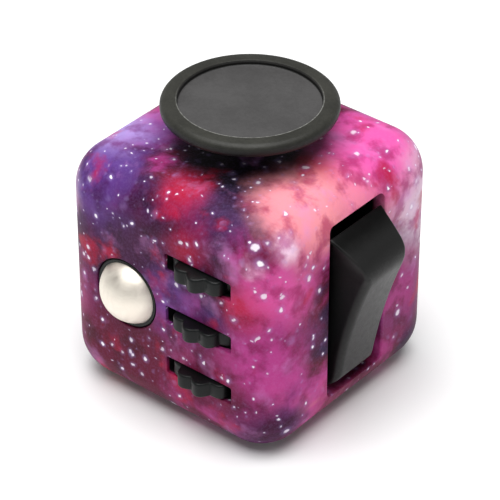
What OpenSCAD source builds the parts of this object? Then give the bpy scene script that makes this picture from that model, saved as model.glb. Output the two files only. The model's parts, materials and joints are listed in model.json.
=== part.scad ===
// Pocket fidget cube with six playable faces: slide pad, rollers and ball, rocker,
// click buttons, spin dial and thumb dish.
// Origin: centre of the flat underside. +Z up, rollers face -Y, rocker faces +X.

/* [Body] */
// Edge length of the cube
body_size = 33; // [32:0.5:35]
// Radius of the cube edges and corners
body_round = 5.8; // [4.5:0.1:6]
// Thickness of the shell walls
wall = 1.8; // [1.6:0.1:2]

/* [Slide pad] */
// Radius of the round pad on top
pad_r = 10.7; // [9.5:0.1:11.5]
// Height of the pad rim above the top face
pad_lift = 5.4; // [4.8:0.1:6.5]
// Radius of the shallow hollow in the pad
pad_hollow_r = 8.65; // [7:0.05:9]
// Depth of the hollow in the pad
pad_hollow_depth = 0.7; // [0.5:0.1:1]
// Travel of the pad to each side
pad_travel = 1.2; // [0.8:0.1:1.3]

/* [Rollers and ball] */
// Spacing of the three rollers
roller_pitch = 7.5; // [7:0.1:7.6]
// Tip radius of the rollers
roller_r = 4.9; // [4.6:0.1:5]
// Thickness of each roller
roller_thick = 2.0; // [1.6:0.1:2]
// Number of lobes on each roller
roller_lobes = 10; // [8:1:12]
// Radius of the steel ball
ball_r = 4.4; // [4.2:0.05:4.4]
// Press travel of the ball
ball_travel = 0.8; // [0.4:0.1:1]

/* [Rocker] */
// Half width of the rocker opening
rocker_gap_y = 5.25; // [5:0.05:5.4]
// Half height of the rocker opening
rocker_gap_z = 12.3; // [12.3:0.05:12.5]
// Tilt of the rocker as drawn, top end out
rocker_tilt = 15; // [-15:1:15]

/* [Click buttons] */
// Radius of each click button
button_r = 2.55; // [2.2:0.05:2.7]
// Offset of the corner buttons from the face centre
button_pitch = 6.2; // [6:0.1:6.3]
// How far the buttons stand out of the face
button_lift = 1.3; // [1:0.1:1.6]

/* [Spin dial] */
// Radius of the spin dial
dial_r = 6.2; // [5.5:0.1:6.3]
// How far the dial stands out of the face
dial_lift = 2.1; // [1.5:0.1:2.6]

/* [Thumb dish] */
// Rim radius of the dish
dish_r = 8; // [7:0.1:8]
// Depth of the dish
dish_depth = 2.3; // [1.5:0.1:2.4]

/* [Hidden] */
half = body_size / 2;
mid = half;
inner = half - wall;
shell_fn = 40;
turn_fn = 48;
small_fn = 24;

// running gap between parts that slide or turn together
run_gap = 0.05;
// clear gap between parts that never touch
clear_gap = 0.2;
// overlap that joins two shapes of one piece
merge = 0.2;
// how far the inner walls run into the shell
embed = 0.4;
// how far a cutting shape runs past the surface it cuts
over = 1;

// slide pad
pad_top = body_size + pad_lift;
pad_edge = 1.4;
pad_cone_r = 5;
pad_cone_h = 0.9;
pad_cone_inset = 0.8;
pad_floor = pad_top - pad_hollow_depth;
pad_stem_r = 2.4;
pad_hole_r = pad_stem_r + pad_travel * sqrt(2) + clear_gap;
pad_post_r = 1.1;
pad_post_h = 4.8;
top_in = body_size - wall;
cup_r = 7.2;
cup_wall = 0.8;
cup_depth = 4.6;
collar_wall = 0.8;
collar_drop = 2.8;
slide_plate_r = cup_r - cup_wall - pad_travel * sqrt(2) - 0.1;
slide_plate_z = top_in - 1.3;
slide_plate_t = 1.0;
pad_stem_h = pad_top - pad_edge + merge - slide_plate_z - slide_plate_t;
key_w = 1.6;
key_h = 0.7;
key_inset = 0.3;
ring_r = cup_r - cup_wall;
ring_t = 0.5;
ring_notch = [0.35, 1.2];
cross_z = slide_plate_z - 1.2;
cross_t = 1.1;
cup_floor_top = cross_z - 0.1;

// rollers
roller_x = 5.7;
roller_y = 3 - half;
roller_slot_w = 10.04;
roller_slot_h = 2.4;
roller_lobe_r = 1.35;
roller_bevel = 0.35;
roller_clear = 0.25;
axle_r = 0.8;
frame_x = 4.3;
frame_back = -7.9;
frame_half = 10.2;
rollers = [1, 0, -1];

// ball, depths are measured inward from the front face
ball_x = -5.6;
ball_depth = 1.8;
ball_hole_r = 4.7;
ball_lip = 0.6;
ball_fit = 0.05;
cup_lip_r = 4.5;
cup_lip_y = 0.15;
cup_body_r = 5.05;
cup_body_y = 0.85;
cup_pin_r = 1.6;
cup_pin = 1.2;
ball_sleeve_r = 5.35;
sleeve_wall = 0.65;
cup_back = 7.4;
sleeve_floor = 1.0;
spring_room = 3.2;
sleeve_end = cup_back + spring_room + ball_travel + sleeve_floor;
ball_wire_r = 0.25;
ball_coil_r = 2.3;
ball_coils = 5;

// rocker
rocker_x = 10.2;
rocker_z = mid + 0.55;
tunnel_wall = 1.2;
tunnel_end = 8.6;
tunnel_back = 9.7;
cam_top = 28.3;
rocker_front = 8.9;
rocker_crest = 7.6;
rocker_end = 10.3;
rocker_end_x = 7.3;
rocker_base = 11.3;
rocker_base_x = 4.45;
rocker_skirt = 11.8;
rocker_skirt_x = 2.85;
rocker_back_x = -0.35;
rocker_pocket_x = 6.5;
rocker_pocket_y = 3.4;
rocker_pocket_z = [3.4, 9.6];
cam_plate = 1.2;
cam_half_y = 5.75;
cam_box_y = 3.4;
cam_box_z = 4.2;
cam_slot_y = 2.4;
cam_slot_z = 3.4;
cam_wall = 1.3;
rocker_half_w = 4.95;
rocker_crest_w = 3.7;
rocker_shoulder_x = 3;
rocker_dish_r = 96;
rocker_dish = 0.4;
rocker_boss_r = 2;
rocker_boss_x = [-3.4, 2.6];
trunnion_r = 1.2;
trunnion_y = 6.3;
plunger_r = 1.2;
plunger_reach = 5.6;
plunger_tip_r = 0.8;
plunger_tip = 0.6;
plunger_bore = 4.5;
spring_wire_r = 0.2;
spring_coil_r = 0.9;
spring_coils = 6;

// click buttons
button_spots = [[0, 0], [1, 1], [-1, 1], [-1, -1], [1, -1]];
click_spots = [0, 1, 3];
quiet_spots = [2, 4];
button_bevel = 0.4;
button_flange_r = 3.15;
button_flange_y = 13.55;
button_flange_t = 1.0;
button_stem_r = 1.1;
button_stem_y = 12.25;
carrier_y = 10.2;
carrier_t = 1.2;
carrier_half = 9.7;
carrier_post = 8.4;
carrier_post_r = 1.7;
carrier_posts = [[1, 0], [-1, 0], [0, 1], [0, -1]] * carrier_post;
carrier_corner = 2;
carrier_screw_len = 4;
dome_r = 2.2;
dome_h = 0.8;
dome_t = 0.15;
quiet_r = [1.9, 1.3];

// dial
dial_pocket_r = 6.6;
dial_pocket = 0.8;
dial_shaft_r = 1.65;
dial_shaft = 3.3;
dial_boss_r = 3.4;
dial_boss = 2;
dial_bevel = 0.35;
dial_lobes = 12;
dial_notch_r = 1.3;
dial_notch = 0.4;
dial_notch_z = 0.6;
dial_bowl_r = 10;
dial_bowl = 0.7;
dial_screw_len = 3.4;
washer_r = 2.6;
washer_t = 0.5;
washer_gap = 0.1;

// cover and screws
cover_half = 10.1;
cover_gap = 0.1;
cover_corner = 2;
cover_boss_r = 8.7;
cover_boss_h = 1.7;
cover_screw = 7.95;
screw_post_r = 2.1;
screw_post_h = 4.4;
rib_len = 8.5;
rib_w = 1.4;
rib_skin = 0.3;
cover_corners = [for (sx = [-1, 1], sy = [-1, 1]) [sx, sy]];
cover_seat = 0.9;
cover_screw_len = 4.2;
screw_r = 0.7;
screw_head_r = 1.4;
screw_head_h = 0.8;
screw_slot_w = 0.3;
screw_slot_l = 1.8;
screw_slot_t = 0.4;
screw_room = 0.3;

// ---- helpers ----

module quarter_disc(r) {
    intersection() {
        circle(r = r);
        square(r);
    }
}

// block with round edges and ball corners, centred on the origin
module rounded_block(size, r) {
    core = size / 2 - r;
    cube([size, 2 * core, 2 * core], center = true);
    cube([2 * core, size, 2 * core], center = true);
    cube([2 * core, 2 * core, size], center = true);
    for (turn = [[0, 0, 0], [90, 0, 0], [0, 90, 0]], quarter = [0 : 3])
        rotate(turn)
            rotate([0, 0, 90 * quarter])
                translate([core, core, -core])
                    linear_extrude(2 * core)
                        quarter_disc(r);
    for (flip = [0, 1], quarter = [0 : 3])
        mirror([0, 0, flip])
            rotate([0, 0, 90 * quarter])
                translate([core, core, core])
                    rotate_extrude(angle = 90)
                        quarter_disc(r);
}

module rounded_square(half_side, r) {
    square([2 * half_side, 2 * (half_side - r)], center = true);
    square([2 * (half_side - r), 2 * half_side], center = true);
    for (sx = [-1, 1], sy = [-1, 1])
        translate([sx * (half_side - r), sy * (half_side - r)])
            circle(r = r, $fn = small_fn);
}

// flat box given by its corners
module span(low, high) {
    translate(low)
        cube(high - low);
}

// cylinder along +Y that starts at depth y
module rod_y(r, y, length, fn = small_fn) {
    translate([0, y, 0])
        rotate([-90, 0, 0])
            cylinder(r = r, h = length, $fn = fn);
}

// cylinder along +X that starts at x
module rod_x(r, x, length, fn = small_fn) {
    translate([x, 0, 0])
        rotate([0, 90, 0])
            cylinder(r = r, h = length, $fn = fn);
}

// round disc with a bevelled edge at both ends
module bevelled_disc(r, thick, bevel) {
    cylinder(r1 = r - bevel, r2 = r, h = bevel);
    translate([0, 0, bevel])
        cylinder(r = r, h = thick - 2 * bevel);
    translate([0, 0, thick - bevel])
        cylinder(r1 = r, r2 = r - bevel, h = bevel);
}

// round disc with a full round rim
module round_disc(r, thick) {
    rotate_extrude() {
        square([r - thick / 2, thick]);
        translate([r - thick / 2, thick / 2])
            intersection() {
                circle(r = thick / 2);
                translate([0, -thick / 2])
                    square(thick);
            }
    }
}

// stack of rings that stands for a coil spring, along +Z from the origin
module coil_stack(coil_r, wire_r, length, coils) {
    step = (length - 2 * wire_r) / (coils - 1);
    for (i = [0 : coils - 1])
        translate([0, 0, wire_r + i * step])
            rotate_extrude($fn = small_fn)
                translate([coil_r, 0])
                    circle(r = wire_r, $fn = 16);
    for (i = [0 : coils - 2])
        rotate([0, 0, 180 * i])
            translate([coil_r, 0, wire_r + i * step])
                cylinder(r = wire_r * 0.6, h = step, $fn = 16);
}

// small machine screw, head up from z = 0, thread down
module small_screw(length) {
    difference() {
        cylinder(r = screw_head_r, h = screw_head_h, $fn = small_fn);
        for (a = [0, 90])
            rotate([0, 0, a])
                translate([-screw_slot_l / 2, -screw_slot_w / 2, screw_head_h - screw_slot_t])
                    cube([screw_slot_l, screw_slot_w, screw_slot_t + over]);
    }
    translate([0, 0, -length])
        cylinder(r = screw_r, h = length, $fn = small_fn);
}

// ---- shell and cover ----

module shell_posts() {
    // screw posts of the cover, each with a rib to its corner
    for (c = cover_corners)
        translate([c[0] * cover_screw, c[1] * cover_screw, wall])
            cylinder(r = screw_post_r, h = screw_post_h, $fn = small_fn);
    intersection() {
        for (c = cover_corners)
            translate([c[0] * cover_screw, c[1] * cover_screw, wall + run_gap])
                rotate([0, 0, atan2(c[1], c[0])])
                    translate([0, -rib_w / 2, 0])
                        cube([rib_len, rib_w, screw_post_h - run_gap]);
        translate([0, 0, mid])
            rounded_block(body_size - 2 * rib_skin, body_round - rib_skin, $fn = shell_fn);
    }
    // posts of the button carrier
    for (p = carrier_posts)
        translate([p[0], 0, mid + p[1]])
            rod_y(carrier_post_r, carrier_y + carrier_t, inner - carrier_y - carrier_t + embed);
    // collar around the slide cup
    translate([0, 0, top_in - collar_drop])
        difference() {
            cylinder(r = cup_r + run_gap + collar_wall, h = collar_drop + embed, $fn = turn_fn);
            translate([0, 0, -over])
                cylinder(r = cup_r + run_gap, h = collar_drop + over, $fn = turn_fn);
        }
    // boss behind the dial
    translate([0, 0, mid])
        rod_x(dial_boss_r, -inner - embed, dial_boss + embed, turn_fn);
    // tunnel around the rocker
    span(
        [tunnel_end, -rocker_gap_y - tunnel_wall, rocker_z - rocker_gap_z - tunnel_wall],
        [inner + embed, rocker_gap_y + tunnel_wall, rocker_z + rocker_gap_z + tunnel_wall]
    );
}

module shell_cuts() {
    // underside opening for the cover
    translate([0, 0, -over])
        linear_extrude(wall + over)
            rounded_square(cover_half + cover_gap, cover_corner + cover_gap);
    // slide pad stem
    translate([0, 0, top_in - over])
        cylinder(r = pad_hole_r, h = wall + 2 * over, $fn = turn_fn);
    // roller slots
    for (i = rollers)
        span(
            [roller_x - roller_slot_w / 2, -half - over, mid + i * roller_pitch - roller_slot_h / 2],
            [roller_x + roller_slot_w / 2, -inner + over, mid + i * roller_pitch + roller_slot_h / 2]
        );
    // ball hole, narrow at the face and wider behind it
    translate([ball_x, 0, mid]) {
        rod_y(ball_hole_r, -half - over, wall + 2 * over, turn_fn);
        rod_y(ball_sleeve_r, -half + ball_lip, wall + over, turn_fn);
    }
    // rocker opening
    span(
        [tunnel_end - over, -rocker_gap_y, rocker_z - rocker_gap_z],
        [tunnel_back + over, rocker_gap_y, cam_top]
    );
    span(
        [tunnel_back, -rocker_gap_y, rocker_z - rocker_gap_z],
        [half + over, rocker_gap_y, rocker_z + rocker_gap_z]
    );
    translate([rocker_x, 0, rocker_z])
        rod_y(trunnion_r + run_gap, -trunnion_y - over, 2 * (trunnion_y + over));
    // click buttons and the screws of their carrier
    for (p = button_spots)
        translate([p[0] * button_pitch, 0, mid + p[1] * button_pitch])
            rod_y(button_r + clear_gap, inner - over, wall + 2 * over, turn_fn);
    for (p = carrier_posts)
        translate([p[0], 0, mid + p[1]])
            rod_y(screw_r, carrier_y, carrier_screw_len + clear_gap);
    // dial pocket and shaft
    translate([0, 0, mid]) {
        rod_x(dial_pocket_r, -half - over, dial_pocket + over, turn_fn);
        rod_x(dial_shaft_r + run_gap, -half - over, wall + dial_boss + 2 * over);
    }
    // screws of the cover
    for (c = cover_corners)
        translate([c[0] * cover_screw, c[1] * cover_screw, 0])
            cylinder(r = screw_r, h = cover_seat + cover_screw_len + screw_room, $fn = small_fn);
}

module main_shell() {
    color("MediumPurple")
        difference() {
            union() {
                translate([0, 0, mid])
                    difference() {
                        rounded_block(body_size, body_round, $fn = shell_fn);
                        rounded_block(2 * inner, body_round - wall, $fn = shell_fn);
                    }
                shell_posts();
            }
            shell_cuts();
        }
}

module base_cover() {
    ball_cut = (dish_r * dish_r + dish_depth * dish_depth) / (2 * dish_depth);
    color("SlateBlue")
        difference() {
            union() {
                linear_extrude(wall)
                    rounded_square(cover_half, cover_corner);
                cylinder(r = cover_boss_r, h = wall + cover_boss_h, $fn = turn_fn);
            }
            translate([0, 0, dish_depth - ball_cut])
                sphere(r = ball_cut, $fn = 96);
            for (c = cover_corners)
                translate([c[0] * cover_screw, c[1] * cover_screw, -over]) {
                    cylinder(r = screw_r + run_gap, h = wall + 2 * over, $fn = small_fn);
                    cylinder(r = screw_head_r + 2 * run_gap, h = cover_seat + over, $fn = small_fn);
                }
        }
}

module cover_screws() {
    color("Silver")
        for (c = cover_corners)
            translate([c[0] * cover_screw, c[1] * cover_screw, cover_seat])
                rotate([180, 0, 0])
                    small_screw(cover_screw_len);
}

// ---- slide pad ----

module slide_pad() {
    color("DimGray")
        difference() {
            union() {
                translate([0, 0, pad_top - pad_edge])
                    round_disc(pad_r, pad_edge, $fn = turn_fn);
                translate([0, 0, pad_top - pad_edge - pad_cone_h])
                    cylinder(r1 = pad_cone_r, r2 = pad_r - pad_cone_inset, h = pad_cone_h, $fn = turn_fn);
                translate([0, 0, slide_plate_z + slide_plate_t])
                    cylinder(r = pad_stem_r, h = pad_stem_h, $fn = small_fn);
            }
            translate([0, 0, pad_floor])
                cylinder(r = pad_hollow_r, h = pad_hollow_depth + over, $fn = turn_fn);
            translate([0, 0, slide_plate_z])
                cylinder(r = pad_post_r, h = pad_post_h + clear_gap, $fn = small_fn);
        }
}

module pad_slider() {
    color("Gainsboro") {
        translate([0, 0, slide_plate_z])
            cylinder(r = slide_plate_r, h = slide_plate_t, $fn = turn_fn);
        translate([0, 0, slide_plate_z + merge])
            cylinder(r = pad_post_r, h = pad_post_h - merge, $fn = small_fn);
        span(
            [-slide_plate_r + key_inset, -key_w / 2, slide_plate_z - key_h],
            [slide_plate_r - key_inset, key_w / 2, slide_plate_z + merge]
        );
    }
}

module cross_slide() {
    color("LightSteelBlue")
        difference() {
            union() {
                translate([0, 0, cross_z])
                    cylinder(r = slide_plate_r, h = cross_t, $fn = turn_fn);
                span(
                    [-key_w / 2, -slide_plate_r + key_inset, cross_z - key_h],
                    [key_w / 2, slide_plate_r - key_inset, cross_z + merge]
                );
            }
            span(
                [-slide_plate_r - over, -key_w / 2 - run_gap, cross_z + cross_t - key_h],
                [slide_plate_r + over, key_w / 2 + run_gap, cross_z + cross_t + over]
            );
        }
}

module slide_cup() {
    color("DarkGray")
        difference() {
            translate([0, 0, top_in - cup_depth])
                cylinder(r = cup_r, h = cup_depth, $fn = turn_fn);
            translate([0, 0, cup_floor_top])
                cylinder(r = cup_r - cup_wall, h = cup_depth, $fn = turn_fn);
            span(
                [-key_w / 2 - run_gap, -cup_r + cup_wall, cup_floor_top - key_h],
                [key_w / 2 + run_gap, cup_r - cup_wall, cup_floor_top + over]
            );
        }
}

module centring_ring() {
    color("Black")
        translate([0, 0, slide_plate_z + 2 * run_gap])
            difference() {
                cylinder(r = ring_r, h = slide_plate_t - 4 * run_gap, $fn = turn_fn);
                translate([0, 0, -over])
                    cylinder(r = ring_r - ring_t, h = slide_plate_t + 2 * over, $fn = turn_fn);
                for (a = [0 : 45 : 315])
                    rotate([0, 0, a])
                        translate([ring_r - ring_t - 2 * run_gap, -ring_notch[1] / 2, -over])
                            cube([ring_notch[0], ring_notch[1], slide_plate_t + 2 * over]);
            }
}

// ---- rollers ----

module lobed_disc(tip_r, lobe_r, lobes, thick, bevel) {
    intersection() {
        linear_extrude(thick) {
            circle(r = tip_r - lobe_r, $fn = turn_fn);
            for (i = [0 : lobes - 1])
                rotate(i * 360 / lobes)
                    translate([tip_r - lobe_r, 0])
                        circle(r = lobe_r, $fn = small_fn);
        }
        bevelled_disc(tip_r, thick, bevel, $fn = 60);
    }
}

module roller(place, phase) {
    color("DimGray")
        translate([roller_x, roller_y, mid + place * roller_pitch - roller_thick / 2])
            difference() {
                rotate([0, 0, phase])
                    lobed_disc(roller_r, roller_lobe_r, roller_lobes, roller_thick, roller_bevel);
                translate([0, 0, -over])
                    cylinder(r = axle_r + run_gap, h = roller_thick + 2 * over, $fn = small_fn);
            }
}

module upper_roller() {
    roller(1, -83);
}

module middle_roller() {
    roller(0, -95);
}

module lower_roller() {
    roller(-1, -76);
}

module roller_axle() {
    color("Silver")
        translate([roller_x, roller_y, mid - frame_half])
            cylinder(r = axle_r, h = 2 * frame_half, $fn = small_fn);
}

module roller_frame() {
    color("DarkSlateGray")
        difference() {
            span(
                [roller_x - frame_x, -inner, mid - frame_half],
                [roller_x + frame_x, frame_back, mid + frame_half]
            );
            for (i = rollers)
                translate([roller_x, roller_y, mid + i * roller_pitch - roller_slot_h / 2])
                    cylinder(r = roller_r + roller_clear, h = roller_slot_h, $fn = turn_fn);
            for (i = rollers)
                span(
                    [0, -inner - over, mid + i * roller_pitch - roller_slot_h / 2],
                    [2 * roller_x, roller_y, mid + i * roller_pitch + roller_slot_h / 2]
                );
            translate([roller_x, roller_y, mid - frame_half - over])
                cylinder(r = axle_r, h = 2 * (frame_half + over), $fn = small_fn);
        }
}

// ---- ball ----

module steel_ball() {
    color("Silver")
        translate([ball_x, ball_depth - half, mid])
            sphere(r = ball_r, $fn = 40);
}

module ball_cup() {
    color("DarkSlateGray")
        translate([ball_x, -half, mid])
            difference() {
                union() {
                    rod_y(cup_lip_r, cup_lip_y, cup_body_y, turn_fn);
                    rod_y(cup_body_r, cup_body_y, cup_back - cup_body_y, turn_fn);
                    rod_y(cup_pin_r, cup_back - merge, cup_pin + merge);
                }
                translate([0, ball_depth, 0])
                    rotate([90, 0, 0])
                        sphere(r = ball_r + ball_fit, $fn = 40);
            }
}

module ball_spring() {
    color("LightGray")
        translate([ball_x, cup_back - half, mid])
            rotate([-90, 0, 0])
                coil_stack(ball_coil_r, ball_wire_r, sleeve_end - sleeve_floor - cup_back, ball_coils);
}

module ball_sleeve() {
    color("DarkGray")
        translate([ball_x, -half, mid])
            difference() {
                rod_y(ball_sleeve_r + sleeve_wall, wall, sleeve_end - wall, turn_fn);
                rod_y(ball_sleeve_r, wall - over, sleeve_end - wall - sleeve_floor + over, turn_fn);
            }
}

// ---- rocker ----

// side outline of the rocker about its pivot, front to +X, mirrored top to bottom
function rocker_outline() =
    let (
        corner = [rocker_front + 0.15, rocker_end - 1],
        bend = [for (t = [0 : 0.25 : 1])
            (1 - t) * (1 - t) * [rocker_front, rocker_crest]
            + 2 * t * (1 - t) * corner
            + t * t * [rocker_end_x, rocker_end]],
        upper = concat(
            bend,
            [[rocker_base_x, rocker_base], [rocker_skirt_x, rocker_skirt], [rocker_back_x, 0.3]]
        ),
        count = len(upper)
    )
    concat(upper, [for (i = [count - 1 : -1 : 0]) [upper[i][0], -upper[i][1]]]);

module rocker_body() {
    difference() {
        union() {
            intersection() {
                rotate([90, 0, 0])
                    translate([0, 0, -rocker_half_w])
                        linear_extrude(2 * rocker_half_w)
                            polygon(rocker_outline());
                // sides that draw in towards the front
                translate([0, 0, -rocker_skirt - over])
                    linear_extrude(2 * (rocker_skirt + over))
                        polygon([
                            [-rocker_shoulder_x, -rocker_half_w],
                            [rocker_shoulder_x, -rocker_half_w],
                            [rocker_front + rocker_dish, -rocker_crest_w],
                            [rocker_front + rocker_dish, rocker_crest_w],
                            [rocker_shoulder_x, rocker_half_w],
                            [-rocker_shoulder_x, rocker_half_w]
                        ]);
            }
            rod_x(rocker_boss_r, rocker_boss_x[0], rocker_boss_x[1] - rocker_boss_x[0]);
            rod_y(trunnion_r, -trunnion_y, 2 * trunnion_y);
        }
        // hollow of the front face
        translate([rocker_front + rocker_dish_r - rocker_dish, 0, 0])
            rod_y(rocker_dish_r, -rocker_half_w - over, 2 * (rocker_half_w + over), 360);
        // bore of the plunger and the two lightening pockets
        rod_x(plunger_r + run_gap, rocker_boss_x[0] - over, plunger_bore - rocker_boss_x[0] + over);
        for (s = [0, 1])
            mirror([0, 0, s])
                span(
                    [rocker_back_x - over, -rocker_pocket_y, rocker_pocket_z[0]],
                    [rocker_pocket_x, rocker_pocket_y, rocker_pocket_z[1]]
                );
    }
}

module place_rocker() {
    translate([rocker_x, 0, rocker_z])
        rotate([0, rocker_tilt, 0])
            children();
}

module rocker() {
    color("DimGray")
        place_rocker()
            rocker_body();
}

module rocker_plunger() {
    color("Silver")
        place_rocker() {
            rod_x(plunger_r, -plunger_reach + plunger_tip, plunger_reach - plunger_tip);
            rod_x(plunger_tip_r, -plunger_reach, plunger_tip + merge);
        }
}

module rocker_spring() {
    color("LightGray")
        place_rocker()
            rotate([0, 90, 0])
                coil_stack(spring_coil_r, spring_wire_r, plunger_bore, spring_coils);
}

module rocker_cam() {
    color("DarkGray")
        difference() {
            union() {
                span(
                    [tunnel_end - cam_plate, -cam_half_y, rocker_z - rocker_gap_z - tunnel_wall],
                    [tunnel_end, cam_half_y, cam_top]
                );
                span(
                    [rocker_x - plunger_reach - cam_wall, -cam_box_y, rocker_z - cam_box_z],
                    [tunnel_end - cam_plate / 2, cam_box_y, rocker_z + cam_box_z]
                );
            }
            translate([rocker_x, 0, rocker_z])
                rod_y(plunger_reach + 2 * run_gap, -cam_slot_y, 2 * cam_slot_y, turn_fn);
            span(
                [tunnel_end - cam_plate - merge, -cam_slot_y, rocker_z - cam_slot_z],
                [tunnel_end + over, cam_slot_y, rocker_z + cam_slot_z]
            );
        }
}

// ---- click buttons ----

module click_button(spot) {
    p = button_spots[spot] * button_pitch;
    bevel_y = half + button_lift - button_bevel;
    stem_len = button_flange_y + merge - button_stem_y;
    color("DimGray")
        translate([p[0], 0, mid + p[1]])
            rotate([-90, 0, 0]) {
                translate([0, 0, button_flange_y])
                    cylinder(r = button_r, h = bevel_y - button_flange_y, $fn = turn_fn);
                translate([0, 0, bevel_y])
                    cylinder(r1 = button_r, r2 = button_r - button_bevel, h = button_bevel, $fn = turn_fn);
                translate([0, 0, button_flange_y])
                    cylinder(r = button_flange_r, h = button_flange_t, $fn = turn_fn);
                translate([0, 0, button_stem_y])
                    cylinder(r = button_stem_r, h = stem_len, $fn = small_fn);
            }
}

module click_button_centre() {
    click_button(0);
}

module click_button_upper_right() {
    click_button(2);
}

module click_button_upper_left() {
    click_button(1);
}

module click_button_lower_left() {
    click_button(4);
}

module click_button_lower_right() {
    click_button(3);
}

module place_spot(i, y) {
    translate([button_spots[i][0] * button_pitch, y, mid + button_spots[i][1] * button_pitch])
        rotate([-90, 0, 0])
            children();
}

module snap_domes() {
    dome_curve = (dome_r * dome_r + dome_h * dome_h) / (2 * dome_h);
    color("Silver")
        for (i = click_spots)
            place_spot(i, carrier_y + carrier_t)
                intersection() {
                    cylinder(r = dome_r, h = dome_h, $fn = small_fn);
                    translate([0, 0, dome_h - dome_curve])
                        difference() {
                            sphere(r = dome_curve, $fn = turn_fn);
                            sphere(r = dome_curve - dome_t, $fn = turn_fn);
                        }
                }
}

module quiet_pads() {
    color("Black")
        for (i = quiet_spots)
            place_spot(i, carrier_y + carrier_t)
                cylinder(r1 = quiet_r[0], r2 = quiet_r[1], h = dome_h, $fn = small_fn);
}

module button_carrier() {
    color("DarkGray")
        difference() {
            translate([0, carrier_y + carrier_t, mid])
                rotate([90, 0, 0])
                    linear_extrude(carrier_t)
                        rounded_square(carrier_half, carrier_corner);
            for (p = carrier_posts)
                translate([p[0], 0, mid + p[1]])
                    rod_y(screw_r + run_gap, carrier_y - over, carrier_t + 2 * over);
        }
}

module carrier_screws() {
    color("Silver")
        for (p = carrier_posts)
            translate([p[0], carrier_y, mid + p[1]])
                rotate([90, 0, 0])
                    small_screw(carrier_screw_len);
}

// ---- dial ----

module spin_dial() {
    top = dial_lift + dial_pocket - clear_gap;
    color("DimGray")
        translate([-half + dial_pocket - clear_gap, 0, mid])
            rotate([0, -90, 0])
                difference() {
                    union() {
                        bevelled_disc(dial_r, top, dial_bevel, $fn = 60);
                        translate([0, 0, -dial_shaft])
                            cylinder(r = dial_shaft_r, h = dial_shaft + merge, $fn = small_fn);
                    }
                    // finger notches around the rim
                    for (i = [0 : dial_lobes - 1])
                        rotate([0, 0, i * 360 / dial_lobes])
                            translate([dial_r + dial_notch_r - dial_notch, 0, dial_notch_z])
                                cylinder(r = dial_notch_r, h = top, $fn = small_fn);
                    translate([0, 0, top + dial_bowl_r - dial_bowl])
                        sphere(r = dial_bowl_r, $fn = 96);
                    translate([0, 0, -dial_shaft - over])
                        cylinder(r = screw_r, h = dial_shaft + over + embed, $fn = small_fn);
                }
}

module dial_washer() {
    color("Silver")
        translate([0, 0, mid])
            difference() {
                rod_x(washer_r, -inner + dial_boss + washer_gap, washer_t);
                rod_x(screw_r, -inner + dial_boss, washer_t + over);
            }
}

module dial_screw() {
    color("Silver")
        translate([-inner + dial_boss + washer_gap + washer_t, 0, mid])
            rotate([0, 90, 0])
                small_screw(dial_screw_len);
}

// ---- assembly ----

main_shell();
base_cover();
cover_screws();
slide_pad();
pad_slider();
cross_slide();
slide_cup();
centring_ring();
upper_roller();
middle_roller();
lower_roller();
roller_axle();
roller_frame();
steel_ball();
ball_cup();
ball_spring();
ball_sleeve();
rocker();
rocker_plunger();
rocker_spring();
rocker_cam();
click_button_centre();
click_button_upper_right();
click_button_upper_left();
click_button_lower_left();
click_button_lower_right();
snap_domes();
quiet_pads();
button_carrier();
carrier_screws();
spin_dial();
dial_washer();
dial_screw();
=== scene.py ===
import json
import math

import bmesh
import bpy
import numpy as np
from mathutils import Matrix, Vector


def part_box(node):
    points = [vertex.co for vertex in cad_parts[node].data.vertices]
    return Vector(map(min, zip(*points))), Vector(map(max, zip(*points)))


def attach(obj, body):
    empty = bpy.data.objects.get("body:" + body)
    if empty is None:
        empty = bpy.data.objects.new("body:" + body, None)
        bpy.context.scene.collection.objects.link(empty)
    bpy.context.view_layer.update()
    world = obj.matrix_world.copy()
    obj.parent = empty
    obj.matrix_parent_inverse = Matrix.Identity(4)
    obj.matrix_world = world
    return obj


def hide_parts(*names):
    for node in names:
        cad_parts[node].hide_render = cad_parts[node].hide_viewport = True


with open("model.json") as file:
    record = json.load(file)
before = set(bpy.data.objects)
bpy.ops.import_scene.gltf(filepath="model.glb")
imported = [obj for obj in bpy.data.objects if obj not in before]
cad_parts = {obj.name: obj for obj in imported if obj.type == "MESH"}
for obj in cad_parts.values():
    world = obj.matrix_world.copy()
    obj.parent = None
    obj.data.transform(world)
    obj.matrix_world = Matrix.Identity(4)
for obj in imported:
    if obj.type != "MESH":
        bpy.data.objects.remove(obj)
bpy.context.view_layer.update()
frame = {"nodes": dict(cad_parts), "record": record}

MM = 0.001
EDGE_LOOP = 0.12        # extra row of faces just inside each flat, in mm
CUT_ABOVE = 0.6         # how far a cutter starts outside the face it cuts
RIM_FLARE = 0.06        # how much wider than its rounded rim a cutter starts
RIM_ANGLES = (14, 30, 45, 60, 75, 90)
JUST_OUTSIDE = 0.004    # where the flare of a cutter ends, outside the face
ON_AXIS = 1e-4          # radius that stands for a point on the axis
SQUARE = ((-1, -1), (1, -1), (1, 1), (-1, 1))


# ---------------------------------------------------------------- mesh helpers

def new_object(name, verts, faces, smooth=40):
    """Mesh object from points in millimetres, with smooth shading up to an angle."""
    mesh = bpy.data.meshes.new(name)
    mesh.from_pydata([tuple(c * MM for c in v) for v in verts], [], faces)
    mesh.validate()
    bm = bmesh.new()
    bm.from_mesh(mesh)
    bmesh.ops.remove_doubles(bm, verts=bm.verts, dist=0.0001 * MM)
    bmesh.ops.recalc_face_normals(bm, faces=bm.faces)
    bm.to_mesh(mesh)
    bm.free()
    obj = bpy.data.objects.new(name, mesh)
    bpy.context.collection.objects.link(obj)
    shade(obj, smooth)
    return obj


def shade(obj, angle):
    obj.data.shade_smooth()
    obj.data.set_sharp_from_angle(angle=math.radians(angle))


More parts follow.
